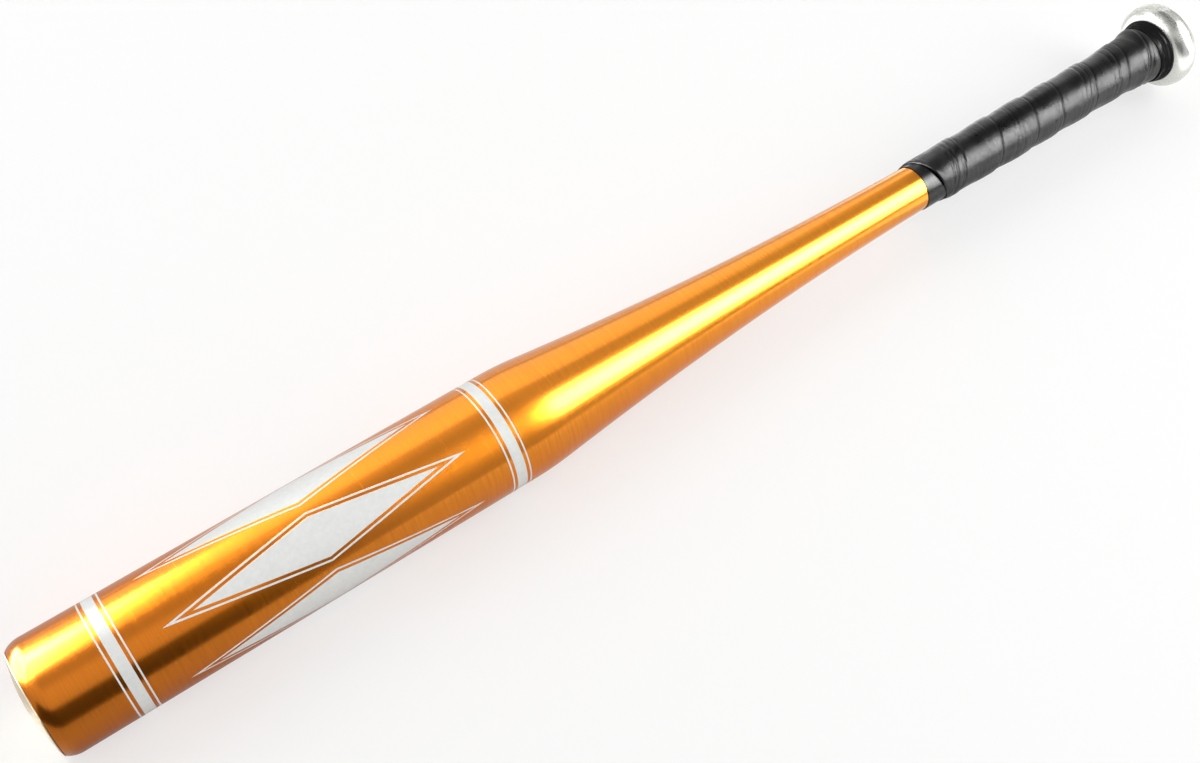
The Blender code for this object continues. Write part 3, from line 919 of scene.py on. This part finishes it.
def aim(lamp, target, up):
    """Turns a lamp to face the target, its own Y along up as nearly as that allows."""
    back = (lamp.location - Vector(target)).normalized()
    right = Vector(up).cross(back).normalized()
    rows = (right, back.cross(right), back)
    lamp.rotation_mode = "QUATERNION"
    lamp.rotation_quaternion = Matrix(rows).transposed().to_quaternion()


def direction(azimuth, elevation):
    a, e = math.radians(azimuth), math.radians(elevation)
    return Vector((math.cos(a) * math.cos(e), math.sin(a) * math.cos(e), math.sin(e)))


def softbox(name, target, bearing, size, brightness, up=(0, 0, 1), gleam=False):
    """An even rectangular lamp at an azimuth, elevation and distance from its target.

    A gleam is one that only reflections see.
    """
    azimuth, elevation, distance = bearing
    width, height = size
    light = bpy.data.lights.new(name, "AREA")
    light.shape = "RECTANGLE"
    light.size = width
    light.size_y = height
    light.energy = brightness * math.pi * width * height
    lamp = bpy.data.objects.new(name, light)
    lamp.location = Vector(target) + direction(azimuth, elevation) * distance
    bpy.context.scene.collection.objects.link(lamp)
    aim(lamp, target, up)
    lamp.visible_camera = False
    lamp.visible_diffuse = not gleam


def make_floor():
    bpy.ops.object.select_all(action="DESELECT")
    bpy.ops.mesh.primitive_circle_add(vertices=96, radius=FLOOR_RADIUS, fill_type="NGON")
    floor = bpy.context.object
    floor.name = floor.data.name = "studio_floor"
    floor.data.materials.append(floor_finish())


def make_sky():
    """A plain white sky, brighter towards the top but for the top itself."""
    world = bpy.data.worlds.new("studio_sky")
    bpy.context.scene.world = world
    world.use_nodes = True
    tree = world.node_tree
    up = split(tree, node(tree, "ShaderNodeTexCoord").outputs["Generated"])["Z"]
    ramp = node(tree, "ShaderNodeValToRGB", {0: up})
    stops = ramp.color_ramp.elements
    stops.remove(stops[1])
    for height, brightness in SKY_BRIGHTNESS:
        stop = stops.new(height) if height > 0 else stops[0]
        stop.color = (brightness, brightness, brightness, 1)
    sky = tree.nodes["Background"]
    sky.inputs["Color"].default_value = (1, 1, 1, 1)
    connect(tree, sky, Strength=ramp.outputs["Color"])


def light_barrel_end():
    """A long softbox across the barrel, its gleam, and another gleam on the shoulder."""
    up = ACROSS_THE_BARREL
    softbox("barrel_softbox", BARREL_END, (98.0, 52.4, 1.2), (0.15, 1.08), 6.5, up)
    softbox("barrel_gleam", BARREL_END, (115.8, 49.9, 1.16), (0.60, 1.04), 6.5, up, gleam=True)
    softbox("shoulder_gleam", BARREL_END, (126, 26, 0.9), (0.86, 0.86), 14.0, gleam=True)


def light_taper_and_grip():
    """A nest of softboxes for the taper's long highlight, and gleams along the grip's sides."""
    up = ACROSS_THE_HANDLE
    taper = (-0.082, -0.063, 0.102)
    softbox("taper_gleam", taper, (*OVER_THE_HANDLE, 1.48), (0.42, 0.60), 7.2, up, gleam=True)
    low, side = (0.22, 0, 0.04), (0.25, 0, 0.04)
    tilted = (0.30, 0.25, 1)
    softbox("grip_low_gleam", low, (-48.5, 14.0, 1.45), (0.42, 0.44), 10.5, tilted, gleam=True)
    softbox("grip_side_gleam", side, (45.5, 13.0, 1.3), (0.46, 0.80), 1.3, gleam=True)
    outer, middle, core = (0.087, 0.018, 0.010), (0.070, 0.010, 0.019), (0.046, -0.002, 0.032)
    softbox("handle_softbox", outer, (*OVER_THE_HANDLE, 1.60), (0.71, 1.46), 5.0, up)
    softbox("handle_gleam", middle, (*OVER_THE_HANDLE, 1.56), (0.71, 1.05), 5.0, up, gleam=True)
    softbox("handle_gleam_core", core, (*OVER_THE_HANDLE, 1.52), (0.71, 0.58), 5.3, up, gleam=True)


def light_floor_by_grip():
    """Gleams just over the floor on both sides of the grip, facing down on to it."""
    up = (0, 1, 0)
    front, back = (0.40, -0.258, 0.6), (0.38, 0.14, 0.6)
    softbox("grip_floor_gleam", front, STRAIGHT_DOWN, (0.44, 0.40), 0.80, up, gleam=True)
    softbox("grip_back_floor_gleam", back, STRAIGHT_DOWN, (0.34, 0.26), 1.2, up, gleam=True)


def curved_card(centre, radius, bearings, low, high):
    """Corners and faces of a card bent round an upright line."""
    points = []
    for height in (low, high):
        for bearing in bearings:
            a = math.radians(bearing)
            points.append((centre[0] + radius * math.cos(a), centre[1] + radius * math.sin(a), height))
    count = len(bearings)
    return points, [(i, i + 1, i + 1 + count, i + count) for i in range(count - 1)]


def card_over_floor(y_low, y_high):
    """A card that lies just over the floor, beside the barrel and the taper."""
    start, end = FLOOR_CARD_ENDS
    corners = ((start, y_low), (end, y_low), (end, y_high), (start, y_high))
    return [(x, y, CARD_OVER_FLOOR) for x, y in corners], [(0, 1, 2, 3)]


def shade_over_grip():
    """A card bent round the bat's axis, above and behind the grip, reaching further round at the knob:
    painted shade in the grip's reflections.
    """
    points = []
    for x, last in SHADE_LAST_DEGREES:
        for angle in np.linspace(SHADE_FIRST_DEGREES, last, SHADE_POINTS):
            a = math.radians(angle)
            points.append((x, SHADE_RADIUS * math.cos(a), AXIS_HEIGHT + SHADE_RADIUS * math.sin(a)))
    count = SHADE_POINTS
    rows = [(i, i + 1, i + 1 + count, i + count) for i in range(count - 1)]
    return points, rows + [tuple(corner + count for corner in row) for row in rows]


def card_behind_knob():
    """An upright card just behind the knob."""
    start, end = KNOB_CARD_ENDS
    low, high = CARD_OVER_FLOOR, KNOB_CARD_TOP
    corners = ((start, low), (end, low), (end, high), (start, high))
    return [(x, KNOB_CARD_Y, z) for x, z in corners], [(0, 1, 2, 3)]


def make_reflection_cards():
    """Cards that only reflections see, as a photographer places them round polished metal: painted shade
    and painted reflection.

    Each has its brightness at the barrel's end and at the grip.
    """
    near, far = FLOOR_CARD_SIDES
    flag = curved_card(FLAG_MIDDLE, FLAG_RADIUS, FLAG_BEARINGS, *FLAG_HEIGHTS)
    cards = (
        # A dark flag at the front: painted shade in the gold's reflections
        ("front_flag", flag, 0.05, 0.07),
        # The floor cards are painted shade: the floor beside the bat, darkest at the barrel's end, as
        # reflections see it
        ("floor_card_front", card_over_floor(-far, -near), 0.40, 0.84),
        ("floor_card_back", card_over_floor(near, far), 0.46, 0.74),
        # A dark card over the grip: painted shade on the grip's upper side, seen only in reflections
        ("grip_flag", shade_over_grip(), 0.10, 0.12),
        # A grey card behind the knob: painted shade in the knob's reflections
        ("knob_card", card_behind_knob(), 0.90, 0.90),
    )
    for name, (points, faces), dark, pale in cards:
        mesh = bpy.data.meshes.new(name)
        mesh.from_pydata(points, [], faces)
        mesh.materials.append(card_finish(name, dark, pale))
        card = bpy.data.objects.new(name, mesh)
        bpy.context.scene.collection.objects.link(card)
        card.visible_camera = False
        card.visible_diffuse = False
        card.visible_shadow = False


def make_studio():
    """A pale floor, a plain sky, softboxes with their gleams, a broad fill and reflection cards."""
    make_floor()
    make_sky()
    light_barrel_end()
    light_taper_and_grip()
    softbox("fill_softbox", (0, 0, 0.03), (78, 35, 1.8), (1.76, 1.9), 0.80)
    make_reflection_cards()
    light_floor_by_grip()
    bpy.context.scene.view_settings.view_transform = "Standard"


def make_camera():
    camera = bpy.data.cameras.new("photo_camera")
    camera.sensor_width = CAMERA_SENSOR
    camera.lens = CAMERA_LENS
    camera.clip_start = 0.01
    camera.clip_end = 100
    holder = bpy.data.objects.new("photo_camera", camera)
    holder.location = CAMERA_PLACE
    tilt = math.radians(90 - CAMERA_DOWN_DEGREES)
    holder.rotation_euler = (tilt, 0, math.radians(CAMERA_TURN_DEGREES))
    bpy.context.scene.collection.objects.link(holder)
    bpy.context.scene.camera = holder


PIECES = (
    (make_gold_tube, gold_finish, "bat_tube", "gold_shell"),
    (make_domed_cap, cap_finish, "end_cap", "gold_cap"),
    (make_knob, knob_finish, "knob", "knob_metal"),
    (make_vent_plug, rubber_finish, "vent_plug", "plug_rubber"),
    (make_smooth_tape, tape_finish, "handle_tape", "black_tape"),
    (make_wound_grip, strip_finish, "grip_strip", "grip_leather"),
    (make_taped_collar, cloth_tape_finish, "collar_tape", "collar_tape"),
)

for make_piece, make_finish, cad_node, slot in PIECES:
    piece = make_piece()
    piece.data.materials.append(make_finish())
    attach(piece, "root")
    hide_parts(cad_node)

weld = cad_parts["knob_weld"]
weld.data.materials.clear()
weld.data.materials.append(weld_finish())

make_studio()
make_camera()
